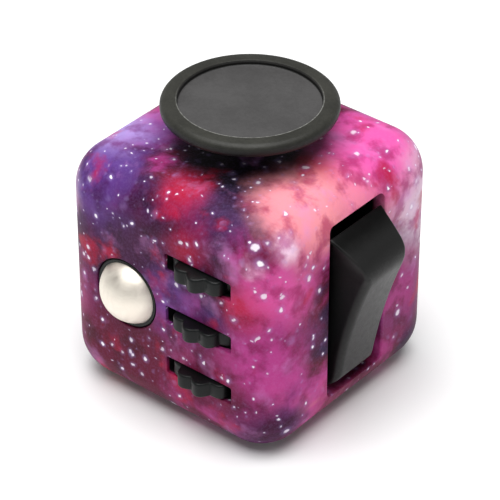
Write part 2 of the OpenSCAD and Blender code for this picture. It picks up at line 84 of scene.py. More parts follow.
def loft(loops):
    """Faces between equal loops of points, closed at both ends. Returns verts and faces."""
    n = len(loops[0])
    verts = [p for loop in loops for p in loop]
    faces = []
    for i in range(len(loops) - 1):
        for j in range(n):
            k = (j + 1) % n
            faces.append((i * n + j, i * n + k, (i + 1) * n + k, (i + 1) * n + j))
    faces.append(tuple(reversed(range(n))))
    faces.append(tuple((len(loops) - 1) * n + j for j in range(n)))
    return verts, faces


def frame_of(direction):
    """Unit axis and two side vectors for a direction."""
    d = Vector(direction).normalized()
    up = Vector((0, 0, 1)) if abs(d.z) < 0.9 else Vector((1, 0, 0))
    u = up.cross(d).normalized()
    return d, u, d.cross(u)


def lathe(profile, centre, direction, n=96):
    """Solid of revolution. profile holds (radius, distance along direction)."""
    d, u, w = frame_of(direction)
    c = Vector(centre)
    turn = [2 * math.pi * k / n for k in range(n)]
    loops = []
    for r, h in profile:
        r = max(r, ON_AXIS)
        loops.append([c + d * h + u * (r * math.cos(a)) + w * (r * math.sin(a)) for a in turn])
    return loft(loops)


def arc(cx, cy, r, a0, a1, steps=6):
    """Points on an arc, angles in degrees."""
    return [
        (cx + r * math.cos(math.radians(a0 + (a1 - a0) * i / steps)),
         cy + r * math.sin(math.radians(a0 + (a1 - a0) * i / steps)))
        for i in range(steps + 1)
    ]


def rounded_rect(w, h, r, steps=6):
    """Outline points of a rectangle w by h with corner radius r."""
    pts = []
    for sx, sy, a in ((1, 1, 0), (-1, 1, 90), (-1, -1, 180), (1, -1, 270)):
        pts += arc(sx * (w / 2 - r), sy * (h / 2 - r), r, a, a + 90, steps)
    return pts


def rounded_cube(size, r, flat=10, curve=14):
    """Closed cube mesh with ball corners, edge length size, centred on the origin."""
    core = size / 2 - r
    inside = list(np.linspace(-core, core, flat + 1))
    inside = [-core, -core + EDGE_LOOP] + inside[1:-1] + [core - EDGE_LOOP, core]
    ramp = [math.tan(math.radians(45 * i / curve)) * r for i in range(1, curve + 1)]
    line = [-core - t for t in reversed(ramp)] + inside + [core + t for t in ramp]
    verts, faces = [], []
    m = len(line)
    for axis in range(3):
        for side in (-1, 1):
            base = len(verts)
            for a in line:
                for b in line:
                    p = [0.0, 0.0, 0.0]
                    p[axis] = side * (core + r)
                    p[(axis + 1) % 3] = a
                    p[(axis + 2) % 3] = b
                    v = Vector(p)
                    k = Vector([max(-core, min(core, c)) for c in p])
                    d = v - k
                    verts.append(k + d.normalized() * r)
            for i in range(m - 1):
                for j in range(m - 1):
                    q = base + i * m + j
                    faces.append((q, q + m, q + m + 1, q + 1))
    return verts, faces


def combine(target, tools, operation):
    """Applies each tool object to target with a boolean and deletes the tools."""
    for tool in tools:
        mod = target.modifiers.new("combine", "BOOLEAN")
        mod.operation = operation
        mod.solver = "EXACT"
        mod.object = tool
    dg = bpy.context.evaluated_depsgraph_get()
    mesh = bpy.data.meshes.new_from_object(target.evaluated_get(dg))
    target.modifiers.clear()
    target.data = mesh
    for tool in tools:
        bpy.data.objects.remove(tool)


def cut(target, cutters):
    """Cuts the cutter objects out of target and deletes them."""
    combine(target, cutters, "DIFFERENCE")


def rim_rows(fillet, depth):
    """(growth, depth) rows of a cutter whose rim is rounded by fillet."""
    rows = [(fillet + RIM_FLARE, -CUT_ABOVE), (fillet + RIM_FLARE, -JUST_OUTSIDE)]
    for t in (math.radians(a) for a in RIM_ANGLES):
        rows.append((fillet - fillet * math.sin(t), fillet - fillet * math.cos(t)))
    return rows + [(0, depth)]


def hole_round(centre, direction, r, depth, fillet):
    """Cutter for a round hole. direction points inward."""
    profile = [(r + grow, deep) for grow, deep in rim_rows(fillet, depth)]
    verts, faces = lathe(profile, centre, direction)
    return new_object("cutter", verts, faces)


def hole_rect(centre, direction, w, h, r, depth, fillet, up=(0, 0, 1)):
    """Cutter for a rounded rectangular hole, w across and h along up."""
    d = Vector(direction).normalized()
    v = Vector(up)
    u = v.cross(d)
    c = Vector(centre)
    loops = []
    for grow, deep in rim_rows(fillet, depth):
        pts = rounded_rect(w + 2 * grow, h + 2 * grow, r + grow)
        loops.append([c + d * deep + u * a + v * b for a, b in pts])
    verts, faces = loft(loops)
    return new_object("cutter", verts, faces)


def weighted(obj, angle):
    """Clean shading where small faces meet large flat ones."""
    shade(obj, angle)
    mod = obj.modifiers.new("normals", "WEIGHTED_NORMAL")
    mod.keep_sharp = True
    mod.weight = 80


def centre_of(node):
    """Centre of a CAD node's box, in millimetres."""
    low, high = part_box(node)
    return (low + high) / 2 / MM


def span_of(node):
    """Low and high corner of a CAD node's box, in millimetres."""
    low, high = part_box(node)
    return low / MM, high / MM


shell_low, shell_high = span_of("main_shell")
size = shell_high.z - shell_low.z
mid = size / 2
half = size / 2
edge_r = 5.8
wall = 1.8
inner = half - wall


# ---------------------------------------------------------------- materials

GRAIN = 11.0            # moulded grain, cells per mm
SHALLOW = 0.02          # its depth in mm


class Shader:
    """Small helper to wire a procedural material."""

    def __init__(self, name):
        self.mat = bpy.data.materials.new(name)
        self.mat.use_nodes = True
        self.tree = self.mat.node_tree
        self.tree.nodes.clear()
        self.out = self.add("ShaderNodeOutputMaterial")
        self.bsdf = self.add("ShaderNodeBsdfPrincipled")
        self.link(self.bsdf.outputs[0], self.out.inputs["Surface"])
        self.coord = self.add("ShaderNodeTexCoord")
        self.place = self.add("ShaderNodeVectorMath")
        self.place.operation = "SCALE"
        self.place.inputs["Scale"].default_value = 1000.0
        self.link(self.coord.outputs["Object"], self.place.inputs[0])
        self.where = self.place.outputs[0]

    def add(self, kind):
        return self.tree.nodes.new(kind)

    def link(self, a, b):
        self.tree.links.new(a, b)

    def put(self, socket, value):
        if hasattr(value, "is_output"):
            self.link(value, socket)
        else:
            socket.default_value = value

    def noise(self, scale, detail=4.0, rough=0.5, where=None, distort=0.0, colour=False):
        n = self.add("ShaderNodeTexNoise")
        self.link(where or self.where, n.inputs["Vector"])
        n.inputs["Scale"].default_value = scale
        n.inputs["Detail"].default_value = detail
        n.inputs["Roughness"].default_value = rough
        n.inputs["Distortion"].default_value = distort
        return n.outputs["Color" if colour else "Fac"]

    def voronoi(self, scale, where=None, out="Distance"):
        n = self.add("ShaderNodeTexVoronoi")
        self.link(where or self.where, n.inputs["Vector"])
        n.inputs["Scale"].default_value = scale
        return n.outputs[out]

    def math(self, op, a, b=0.0):
        n = self.add("ShaderNodeMath")
        n.operation = op
        for i, v in enumerate((a, b)):
            self.put(n.inputs[i], v)
        return n.outputs[0]

    def vmath(self, op, a, b):
        n = self.add("ShaderNodeVectorMath")
        n.operation = op
        self.put(n.inputs[0], a)
        if op not in ("LENGTH", "ABSOLUTE"):
            self.put(n.inputs[1], b)
        return n.outputs["Value" if op in ("DISTANCE", "LENGTH", "DOT_PRODUCT") else "Vector"]

    def fit(self, value, a, b, c=0.0, d=1.0, smooth=True):
        n = self.add("ShaderNodeMapRange")
        n.interpolation_type = "SMOOTHSTEP" if smooth else "LINEAR"
        self.put(n.inputs["Value"], value)
        for name, v in (("From Min", a), ("From Max", b), ("To Min", c), ("To Max", d)):
            n.inputs[name].default_value = v
        return n.outputs["Result"]

    def mix(self, fac, a, b, blend="MIX"):
        n = self.add("ShaderNodeMix")
        n.data_type = "RGBA"
        n.blend_type = blend
        self.put(n.inputs[0], fac)
        for i, v in ((6, a), (7, b)):
            self.put(n.inputs[i], v if hasattr(v, "is_output") else (*v, 1.0))
        return n.outputs[2]

    def bump(self, height, strength, distance):
        n = self.add("ShaderNodeBump")
        n.inputs["Strength"].default_value = strength
        n.inputs["Distance"].default_value = distance * MM
        self.link(height, n.inputs["Height"])
        return n.outputs[0]

    def blend(self, a, b, share):
        """a and b added, b weighed by share and a by the rest."""
        rest = self.math("MULTIPLY", a, 1 - share)
        return self.math("ADD", rest, self.math("MULTIPLY", b, share))

    def band(self, value, at, outer, inner):
        """1 close to a value, falling to 0 away from it."""
        return self.fit(self.math("ABSOLUTE", self.math("SUBTRACT", value, at)), outer, inner)

    def grained(self, fine, depth=SHALLOW, strength=0.35, grain=GRAIN):
        """Normal of finely moulded plastic."""
        height = self.math("ADD", self.voronoi(grain), self.math("MULTIPLY", fine, 0.5))
        return self.bump(height, strength, depth)

    def set(self, name, value):
        self.put(self.bsdf.inputs[name], value)


def lin(r, g, b):
    """Display colour 0-255 to linear."""
    out = []
    for c in (r, g, b):
        c = c / 255
        out.append(c / 12.92 if c <= 0.04045 else ((c + 0.055) / 1.055) ** 2.4)
    return tuple(out)


def grey(level):
    """Display grey 0-255 to linear."""
    return lin(level, level, level)


def plastic(name, base, dark, rough, grain=GRAIN, depth=SHALLOW, spec=0.5):
    """Moulded plastic with fine grain, faint mottling and handling marks."""
    s = Shader(name)
    big = s.noise(0.22, 3.0)
    fine = s.noise(2.1, 5.0, 0.65)
    tone = s.fit(s.blend(big, fine, 0.4), 0.35, 0.65)
    s.set("Base Color", s.mix(tone, dark, base))
    marks = s.noise(0.9, 6.0, 0.7, distort=1.5)
    s.set("Roughness", s.fit(marks, 0.3, 0.75, rough - 0.06, rough + 0.07))
    s.set("Specular IOR Level", spec)
    s.set("Normal", s.grained(fine, depth, grain=grain))
    return s.mat


def steel(name, base, dark, rough, grain=3.0, brushed=0.0):
    """Bare metal with faint smudges and fine lines."""
    s = Shader(name)
    smudge = s.noise(0.5, 5.0, 0.6, distort=0.8)
    s.set("Base Color", s.mix(s.fit(smudge, 0.3, 0.7), dark, base))
    s.set("Metallic", 1.0)
    lines = s.noise(grain, 6.0, 0.7)
    mixed = s.math("ADD", smudge, s.math("MULTIPLY", lines, 0.4))
    s.set("Roughness", s.fit(mixed, 0.4, 1.0, rough * 0.8, rough * 1.3))
    s.set("Normal", s.bump(lines, 0.12 + brushed, 0.01))
    return s.mat


CHARCOAL = plastic("charcoal", grey(66), grey(58), rough=0.5, spec=0.18)
ROLLER_DARK = plastic("roller_dark", lin(14, 17, 17), lin(9, 11, 11), rough=0.4, spec=0.2)
BUTTON_DARK = plastic("button_dark", grey(30), grey(23), rough=0.42, spec=0.25)
INNER = plastic("inner_grey", lin(95, 95, 98), lin(80, 80, 84), rough=0.5, grain=4.0, depth=0.04)
SLIPPERY = plastic("slippery_white", lin(225, 223, 215), lin(210, 208, 200), rough=0.35, grain=5.0)
RUBBER = plastic("soft_rubber", grey(38), grey(28), rough=0.75, grain=14.0, depth=0.05, spec=0.3)
BALL = steel("ball_steel", (0.9, 0.85, 0.76), (0.8, 0.74, 0.65), rough=0.5)
BRIGHT = steel("steel_bright", (0.75, 0.75, 0.76), (0.62, 0.62, 0.63),
               rough=0.28, grain=6.0, brushed=0.1)
SPRING = steel("spring_steel", (0.66, 0.66, 0.68), (0.5, 0.5, 0.52),
               rough=0.3, grain=8.0, brushed=0.1)
ZINC = steel("zinc_screw", (0.72, 0.73, 0.74), (0.55, 0.56, 0.58),
             rough=0.32, grain=7.0, brushed=0.15)


def pad_plastic(name, top, rim, side_shade_depth):
    """Rubbery pad: paler hollow, olive-black rim, painted shade on the hollow's wall and down the
    outer side, a painted highlight at the hollow's edge.
    """
    s = Shader(name)
    split = s.add("ShaderNodeSeparateXYZ")
    s.link(s.where, split.inputs[0])
    flat = s.add("ShaderNodeCombineXYZ")
    s.link(split.outputs[0], flat.inputs[0])
    s.link(split.outputs[1], flat.inputs[1])
    out = s.vmath("LENGTH", flat.outputs[0], (0.0, 0.0, 0.0))
    drop = s.math("SUBTRACT", top, split.outputs[2])
    fine = s.noise(2.4, 5.0, 0.65)
    mottle = s.fit(s.blend(s.noise(0.2, 3.0), fine, 0.4), 0.35, 0.65)
    centre = s.mix(mottle, lin(62, 61, 61), lin(72, 71, 71))
    ring = s.mix(mottle, lin(36, 36, 32), lin(50, 50, 45))
    colour = s.mix(s.fit(out, rim - 0.05, rim + 0.05), centre, ring)
    # painted shade: the wall of the hollow, just below its edge, is painted near-black
    wall_shade = s.math("MULTIPLY", s.band(out, rim - 0.02, 0.12, 0.04), s.fit(drop, 0.2, 0.4))
    colour = s.mix(wall_shade, colour, lin(14, 14, 13))
    # painted shade: down the outer side, below the rim, the colour fades to near-black
    side = s.math("MULTIPLY", s.fit(drop, 0.1, side_shade_depth), s.fit(out, rim + 0.5, rim + 0.9))
    colour = s.mix(side, colour, lin(14, 14, 13))
    # painted highlight: a pale line just outside the hollow's edge, strongest towards the
    # front-right
    line = s.math("MULTIPLY", s.band(out, rim + 0.1, 0.1, 0.02), s.fit(drop, 0.15, 0.02))
    highlight_reach = s.fit(s.math("SUBTRACT", split.outputs[0], split.outputs[1]), -7.0, 9.0, 0.0, 0.75)
    line = s.math("MULTIPLY", line, s.math("MULTIPLY", highlight_reach, s.fit(fine, 0.4, 0.6, 0.4, 1.0)))
    colour = s.mix(line, colour, lin(150, 150, 146))
    s.set("Base Color", colour)
    s.set("Roughness", s.fit(s.noise(0.9, 6.0, 0.7, distort=1.5), 0.3, 0.75, 0.42, 0.55))
    s.set("Specular IOR Level", 0.24)
    s.set("Normal", s.grained(fine))
    return s.mat


def rocker_plastic(name, pivot_point, axis, front):
    """Black key: near-black flanks, the front face painted greyer and the ends painted lighter for
    the light they catch, and painted shade towards the back.
    """
    s = Shader(name)
    from_pivot = s.vmath("SUBTRACT", s.where, pivot_point)
    ahead = s.vmath("DOT_PRODUCT", from_pivot, axis)
    along = s.math("ABSOLUTE", s.vmath("DOT_PRODUCT", from_pivot, (-axis[2], 0.0, axis[0])))
    fine = s.noise(2.6, 5.0, 0.65)
    # painted light: this mask marks the front face, painted the paler grey below for the light it
    # catches
    lit_front_mask = s.fit(ahead, front - 1.0, front - 0.25)
    dark = s.mix(s.fit(fine, 0.35, 0.65), lin(12, 12, 13), grey(18))
    # painted light: the two ends of the key are painted a little lighter grey
    dark = s.mix(s.fit(along, 8.6, 9.8), dark, grey(28))
    # painted shade: towards the back of the key, inside the opening, the colour fades to near-black
    dark = s.mix(s.fit(ahead, 6.6, 3.8), dark, grey(1))
    pale = s.mix(s.fit(fine, 0.35, 0.65), grey(26), grey(36))
    s.set("Base Color", s.mix(lit_front_mask, dark, pale))
    s.set("Roughness", s.fit(s.noise(0.9, 6.0, 0.7, distort=1.5), 0.3, 0.75, 0.32, 0.42))
    s.set("Specular IOR Level", 0.2)
    s.set("Normal", s.grained(fine, 0.015, 0.3))
    return s.mat


BY_SLOT = {
    "steel_zinc": ZINC, "charcoal_plastic": CHARCOAL,
    "slippery_plastic": SLIPPERY, "inner_plastic": INNER, "soft_rubber": RUBBER,
    "dark_plastic": ROLLER_DARK, "steel_bright": BRIGHT, "ball_steel": BALL, "spring_steel": SPRING,
}


PALETTE = {
    "black": (18, 10, 18), "navy": (34, 28, 66), "plum": (62, 18, 56),
    "maroon": (98, 14, 46), "crimson": (178, 16, 52), "violet": (92, 56, 134),
    "lilac": (164, 140, 204), "orchid": (176, 58, 132), "pink": (220, 86, 160),
    "peach": (232, 142, 152), "pale": (242, 214, 234), "mist": (212, 140, 208),
}
# level of the nebula's noise and the colour there
NEBULA = [
    (0.30, "navy"), (0.40, "plum"), (0.48, "maroon"),
    (0.56, "orchid"), (0.66, "pink"), (0.76, "peach"),
]
CLOUDS = [
    # x, y, z, radius and softness in mm, colour, amount
    (-7, -16, 7, 10, 6, "maroon", 1.0),
    (-7, -16, 22, 8, 5, "plum", 1.0),
    (2, -16, 27, 6, 4, "plum", 0.9),
    (8, -16, 10, 6, 4, "maroon", 0.9),
    (2, -16, 18, 4, 3, "violet", 0.8),
    (-12, -14, 31, 6, 4, "violet", 1.0),
    (-13, -8, 33, 4, 3, "lilac", 0.9),
    (-16, -14, 27, 2, 2.5, "pale", 0.9),
    # dark print and painted shadow of the pad: a black patch on the top face, centred in front of
    # the pad
    (4, -4, 33, 9, 3, "black", 1.0),
    (8, -14, 32, 4, 3, "navy", 0.9),
    (1, -13, 32, 2, 3, "crimson", 0.9),
    (4, -16, 27, 2, 3, "crimson", 0.7),
    (11, 0, 33, 2, 3, "crimson", 0.9),
    (14, -7, 32, 6, 3, "peach", 1.0),
    (16, 4, 30, 6, 4, "peach", 0.8),
    (13, 9, 33, 7, 4, "pink", 1.0),
    (15, -13, 24, 5, 3, "pink", 0.9),
    (14, -14, 15, 5, 4, "orchid", 1.0),
    (12, -16, 22, 2, 3, "crimson", 0.7),
    (15, -14, 4, 5, 3, "plum", 0.9),
    (17, 0, 4, 6, 4, "maroon", 0.9),
    (17, 13, 24, 6, 4, "pale", 0.8),
    (17, 9, 13, 5, 4, "orchid", 0.8),
    (15, -12, 30, 1.5, 1.2, "pale", 0.9),
    (13, -15, 28, 1, 1.2, "pale", 0.8),
    (-14, 14, 20, 9, 6, "violet", 0.7),
    (2, 16, 10, 8, 5, "maroon", 0.8),
]
# cells per mm, star radius as a part of a cell, share of cells kept, brightness
STARS = [(0.34, 0.19, 1.0, 1.0), (0.55, 0.18, 0.9, 1.0), (0.9, 0.2, 0.6, 0.8)]


def dye(name):
    """Linear colour of a palette entry."""
    return lin(*PALETTE[name])


def galaxy(name):
    """Printed soft-touch skin: clouds of colour with stars, a black patch that is partly painted
    shadow of the pad, and dark colour deep inside the openings.
    """
    s = Shader(name)

    def moved(amount, scale, detail):
        """Place pushed about by noise, amount in mm."""
        push = s.add("ShaderNodeVectorMath")
        push.operation = "SCALE"
        push.inputs["Scale"].default_value = amount
        swing = s.vmath("SUBTRACT", s.noise(scale, detail, 0.6, colour=True), (0.5, 0.5, 0.5))
        s.link(swing, push.inputs[0])
        return s.vmath("ADD", s.where, push.outputs[0])

    where = moved(7.0, 0.17, 6.0)

    # loose nebula that covers every face
    ramp = s.add("ShaderNodeValToRGB")
    ramp.color_ramp.elements.remove(ramp.color_ramp.elements[1])
    for at, colour_name in NEBULA:
        e = ramp.color_ramp.elements.new(at)
        e.color = (*dye(colour_name), 1)
    ramp.color_ramp.elements.remove(ramp.color_ramp.elements[0])
    s.link(s.noise(0.09, 5.0, 0.55, distort=0.5), ramp.inputs[0])
    colour = ramp.outputs[0]
    haze = s.noise(0.075, 3.0, 0.5, where=s.vmath("ADD", s.where, (40.0, 11.0, -23.0)))
    colour = s.mix(s.fit(haze, 0.55, 0.72, 0.0, 0.75), colour, dye("violet"))

    # broad clouds with a place of their own
    near_where = moved(2.2, 0.35, 4.0)
    for x, y, z, r, soft, colour_name, amount in CLOUDS:
        d = s.vmath("DISTANCE", near_where if r < 3 else where, (x, y, z))
        patch = s.fit(d, r + soft, max(r - soft, 0.0), 0.0, amount)
        colour = s.mix(patch, colour, dye(colour_name))

    # wisps: darker, redder and lighter threads inside the clouds
    thread = s.noise(0.3, 5.0, 0.55, distort=0.2)
    redder = s.mix(1.0, colour, (0.5, 0.16, 0.34), "MULTIPLY")
    colour = s.mix(s.fit(thread, 0.46, 0.66, 0.0, 0.8), colour, redder)
    ember = s.noise(0.2, 4.0, 0.5, where=s.vmath("ADD", s.where, (-17.0, 5.0, 31.0)), distort=0.2)
    colour = s.mix(s.fit(ember, 0.56, 0.74, 0.0, 0.75), colour, dye("crimson"))
    light = s.noise(0.22, 5.0, 0.55, where=s.vmath("ADD", s.where, (7.0, -31.0, 12.0)), distort=0.2)
    colour = s.mix(s.fit(light, 0.54, 0.74, 0.0, 0.6), colour, s.mix(0.55, colour, dye("mist")))
    speck = s.noise(3.2, 3.0, 0.7)
    colour = s.mix(s.fit(speck, 0.4, 0.7, 0.0, 0.12), colour, s.mix(0.5, colour, dye("lilac")))

    # stars in drifts, each a soft spot with a glow
    corner = s.fit(s.vmath("DISTANCE", s.where, (-13.0, -12.0, 30.0)), 16.0, 5.0, 0.0, 0.8)
    drift = s.noise(0.13, 3.0, 0.5, where=s.vmath("ADD", s.where, (3.0, 8.0, 5.0)))
    drift = s.math("ADD", s.fit(drift, 0.34, 0.56, 0.3, 1.0), corner)
    grainy = moved(0.8, 0.9, 2.0)
    for scale, size, keep, glow in STARS:
        cell = s.voronoi(scale, where=grainy)
        pick = s.voronoi(scale, where=grainy, out="Color")
        sep = s.add("ShaderNodeSeparateColor")
        s.link(pick, sep.inputs[0])
        spot_r = s.fit(sep.outputs[1], 0.0, 1.0, size * 0.5, size, smooth=False)
        near = s.math("DIVIDE", cell, spot_r)
        on = s.math("GREATER_THAN", s.math("MULTIPLY", drift, keep), sep.outputs[0])
        level = s.math("MULTIPLY", s.fit(sep.outputs[2], 0.0, 1.0, 0.5, 1.0, smooth=False), glow)
        level = s.math("MULTIPLY", level, on)
        halo = s.math("MULTIPLY", s.fit(near, 2.2, 0.4), 0.35)
        colour = s.mix(s.math("MULTIPLY", halo, level), colour, dye("lilac"))
        colour = s.mix(s.math("MULTIPLY", s.fit(near, 1.0, 0.5), level), colour, lin(252, 244, 254))

    # depth below the printed skin: deep inside the openings the colour turns dark, and round the
    # rocker opening the print reaches further in
    centred = s.vmath("SUBTRACT", s.where, (0.0, 0.0, mid))
    away = s.vmath("ABSOLUTE", centred, (0.0, 0.0, 0.0))
    over = s.vmath("MAXIMUM", s.vmath("SUBTRACT", away, (half - edge_r,) * 3), (0.0, 0.0, 0.0))
    skin = s.math("SUBTRACT", s.vmath("LENGTH", over, (0.0, 0.0, 0.0)), edge_r)
    split = s.add("ShaderNodeSeparateXYZ")
    s.link(s.where, split.inputs[0])
    reach = s.math("ADD", 0.45, s.math("MULTIPLY", s.fit(split.outputs[0], 9.0, 12.5), 1.2))
    deep = s.fit(s.math("DIVIDE", s.math("MULTIPLY", skin, -1.0), reach), 0.75, 1.3)
    colour = s.mix(deep, colour, lin(22, 20, 22))

    s.set("Base Color", colour)
    grain = s.noise(9.0, 4.0, 0.7)
    s.set("Roughness", s.fit(grain, 0.2, 0.8, 0.46, 0.58))
    s.set("Specular IOR Level", 0.12)
    s.set("Normal", s.bump(grain, 0.25, 0.03))
    return s.mat


SHELL = galaxy("galaxy_print")
BY_SLOT["shell_print"] = SHELL
BY_SLOT["cover_print"] = SHELL

slots = {row["node"]: row["material_slot"] for row in frame["record"]["subparts"]}
bodies = {n: b for b, names in frame["record"]["behaviour"]["bodies"].items() for n in names}


def finish_piece(obj, node, material):
    """Gives a built piece its material and its body, and hides the CAD node it stands in for."""
    obj.data.materials.clear()
    obj.data.materials.append(material)
    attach(obj, bodies[node])
    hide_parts(node)


# CAD nodes: their slot's material and softened sharp edges
for node, obj in frame["nodes"].items():
    obj.data.materials.clear()
    obj.data.materials.append(BY_SLOT[slots[node]])
    weld = obj.modifiers.new("weld", "WELD")
    weld.merge_threshold = 0.001 * MM
    bevel = obj.modifiers.new("edges", "BEVEL")
    bevel.width = 0.05 * MM
    bevel.segments = 2
    bevel.limit_method = "ANGLE"
    bevel.angle_limit = math.radians(50)
    bevel.harden_normals = False

# ---------------------------------------------------------------- shell

verts, faces = rounded_cube(size, edge_r)
shell = new_object("shell_skin", verts, faces, 60)
shell.data.transform(Matrix.Translation((0, 0, mid * MM)))

verts, faces = rounded_cube(2 * inner, edge_r - wall, 6, 8)
hollow = new_object("hollow", verts, faces, 60)
hollow.data.transform(Matrix.Translation((0, 0, mid * MM)))

ball_c = centre_of("steel_ball")
roller_c = {n: centre_of(n) for n in ("upper_roller", "middle_roller", "lower_roller")}
axle_c = centre_of("roller_axle")
joints = {joint["name"]: joint for joint in frame["record"]["behaviour"]["joints"]}
pivot = Vector(joints["rocker_flip"]["pos_m"]) / MM
button_names = [n for n in bodies if n.startswith("click_button")]

# rocker opening and the walls round it
gap_y, gap_z, gap_corner = 5.25, 12.3, 0.9
tunnel_wall = 1.2
tunnel_end = 8.6
lap = 0.6               # how far shapes run past each other before a boolean
gap_deep = half - tunnel_end + lap
# openings in the faces
through = 4.0           # deep enough to pass the wall
ball_hole_r = 4.7
stem_hole_r = 4.3
dial_pocket_r, dial_pocket_deep = 6.6, 0.8
dial_bore_r = 1.7
button_hole_r = 2.75
slot_w, slot_h, slot_corner = 10.04, 2.4, 0.25
cover_w, cover_corner = 20.4, 2.1
cover_deep = 3.0        # past the floor, short of the walls round the rocker

y, z = gap_y + tunnel_wall, gap_z + tunnel_wall
tunnel_v, tunnel_f = loft([
    [Vector((x, sy * y, pivot.z + sz * z)) for sy, sz in SQUARE]
    for x in (tunnel_end, inner + lap)
])
cut(shell, [hollow])
combine(shell, [new_object("tunnel", tunnel_v, tunnel_f, 30)], "UNION")

tools = [
    hole_rect((half, 0, pivot.z), (-1, 0, 0), 2 * gap_y, 2 * gap_z, gap_corner,
              gap_deep, fillet=0.3),
    hole_round((ball_c.x, -half, ball_c.z), (0, 1, 0), ball_hole_r, through, fillet=0.15),
    hole_round((0, 0, size), (0, 0, -1), stem_hole_r, through, fillet=0.25),
    hole_round((-half, 0, mid), (1, 0, 0), dial_pocket_r, dial_pocket_deep, fillet=0.25),
    hole_rect((0, 0, 0), (0, 0, 1), cover_w, cover_w, cover_corner,
              cover_deep, fillet=0.12, up=(0, 1, 0)),
]
for c in roller_c.values():
    tools.append(hole_rect((axle_c.x, -half, c.z), (0, 1, 0), slot_w, slot_h, slot_corner,
                           through, fillet=0.1))
for name in button_names:
    c = centre_of(name)
    tools.append(hole_round((c.x, half, c.z), (0, -1, 0), button_hole_r, through, fillet=0.2))
shaft_v, shaft_f = lathe([(dial_bore_r, 0), (dial_bore_r, 8)], (-half, 0, mid), (1, 0, 0), 48)
tools.append(new_object("cutter", shaft_v, shaft_f))
cut(shell, tools)
weighted(shell, 42)
finish_piece(shell, "main_shell", SHELL)

# ---------------------------------------------------------------- slide pad

low, high = span_of("slide_pad")
top = high.z
pad_r, rim_r, deep = 10.7, 8.65, 0.7
stem_r, stem_len = 2.4, 6.0
# stem and the cone under the rim
profile = [(0.0, top - stem_len), (stem_r, top - stem_len), (stem_r, top - 2.9)]
profile += [(5.0, top - 2.3), (pad_r - 1.2, top - 1.76)]
# rim, a rounder curve above its widest line than below it
profile += arc(pad_r - 0.75, top - 1.0, 0.75, -75, 0, 8)
wide, tall = 0.9, 0.8
for t in np.radians(range(0, 79, 6)):
    profile.append((pad_r - wide + wide * math.cos(t), top - tall + tall * math.sin(t)))
profile += [(rim_r + 0.4, top - 0.005), (rim_r + 0.14, top)]
profile += arc(rim_r + 0.1, top - 0.1, 0.1, 100, 180, 4)
# hollow with a rounded foot
foot_r = 0.2
profile += [(rim_r - 0.02, top - deep + foot_r)]
profile += arc(rim_r - foot_r, top - deep + foot_r, foot_r, -30, -90, 2)
profile += [(rim_r - 1.0, top - deep), (0.0, top - deep)]
verts, faces = lathe(profile, (0, 0, 0), (0, 0, 1), 160)
pad = new_object("slide_pad_skin", verts, faces, 35)
finish_piece(pad, "slide_pad", pad_plastic("pad_rubber", top, rim_r, side_shade_depth=1.1))

# ---------------------------------------------------------------- rollers

ROLLER_PHASE = {"upper_roller": -83, "middle_roller": -95, "lower_roller": -76}


def roller(name, phase):
    """Lobed wheel with rounded lobes, turned by phase degrees."""
    centre = Vector((axle_c.x, axle_c.y, roller_c[name].z))
    tip, valley, lobes, thick = 4.9, 4.2, 10, 2.0
    bore_r, hub_inset, b = 0.85, 2.5, 0.3
    n = lobes * 18
    outline = []
    for k in range(n):
        a = 2 * math.pi * k / n
        w = 0.5 + 0.5 * math.cos(lobes * (a - math.radians(phase)))
        outline.append((a, valley + (tip - valley) * w ** 0.62))
    # rows across the thickness: height and growth, edges rounded by b
    steps = [(-thick / 2, -hub_inset), (-thick / 2, -b)]
    for t in (math.radians(a) for a in (22, 45, 67, 90)):
        steps.append((-thick / 2 + b - b * math.cos(t), -b + b * math.sin(t)))
    steps += [(-z, g) for z, g in reversed(steps)]
    loops = []
    for z, grow in steps:
        ring = [((r + grow) * math.cos(a), (r + grow) * math.sin(a), z) for a, r in outline]
        loops.append([centre + Vector(p) for p in ring])
    v, f = loft(loops)
    obj = new_object(name + "_skin", v, f, 40)
    bore_v, bore_f = lathe([(bore_r, -3), (bore_r, 3)], centre, (0, 0, 1), 32)
    cut(obj, [new_object("cutter", bore_v, bore_f)])
    shade(obj, 40)
    finish_piece(obj, name, ROLLER_DARK)


for name, phase in ROLLER_PHASE.items():
    roller(name, phase)

# ---------------------------------------------------------------- ball

ball_r = 4.4
half_turn = [math.radians(a) for a in range(0, 181, 3)]
profile = [(ball_r * math.sin(a), -ball_r * math.cos(a)) for a in half_turn]
verts, faces = lathe(profile, ball_c, (0, -1, 0), 120)
ball = new_object("ball_skin", verts, faces, 60)
finish_piece(ball, "steel_ball", BALL)

# ---------------------------------------------------------------- rocker

tilt = math.radians(15)
front_x, crest_z, dish = 8.9, 7.6, 0.4
end_x, end_z = 7.3, 10.3
corner_x, corner_z = 9.05, 9.3
key_half_w, key_draft = 4.95, 1.25 / 6.2
flank_inset = 2.2       # inset of the loop that closes each flank
front_steps, curve_steps = 24, 10


def rocker_profile():
    """Side outline about the pivot, x out of the face, z along the key."""
    front = []
    for i in range(front_steps + 1):
        z = crest_z * (2 * i / front_steps - 1)
        front.append((front_x - dish * (1 - (z / crest_z) ** 2), z))
    upper = []
    for i in range(1, curve_steps + 1):
        t = i / curve_steps
        a, b, c = (1 - t) ** 2, 2 * t * (1 - t), t * t
        upper.append((a * front_x + b * corner_x + c * end_x,
                      a * crest_z + b * corner_z + c * end_z))
    upper += [(6.0, 10.8), (4.6, 11.26), (3.6, 11.56), (3.15, 11.7), (2.92, 11.72), (2.8, 11.5)]
    back = [(-0.35 + 0.278 * abs(z), z) for z in (9.0, 6.0, 3.0, 0.4, -0.4, -3.0, -6.0, -9.0)]
    lower = [(x, -z) for x, z in reversed(upper)]
    return front + upper + back + lower


outline = rocker_profile()


def rocker_half_width(x):
    """Half width of the key at depth x, drafted like a key cap."""
    return key_half_w - max(x - 3, 0) * key_draft


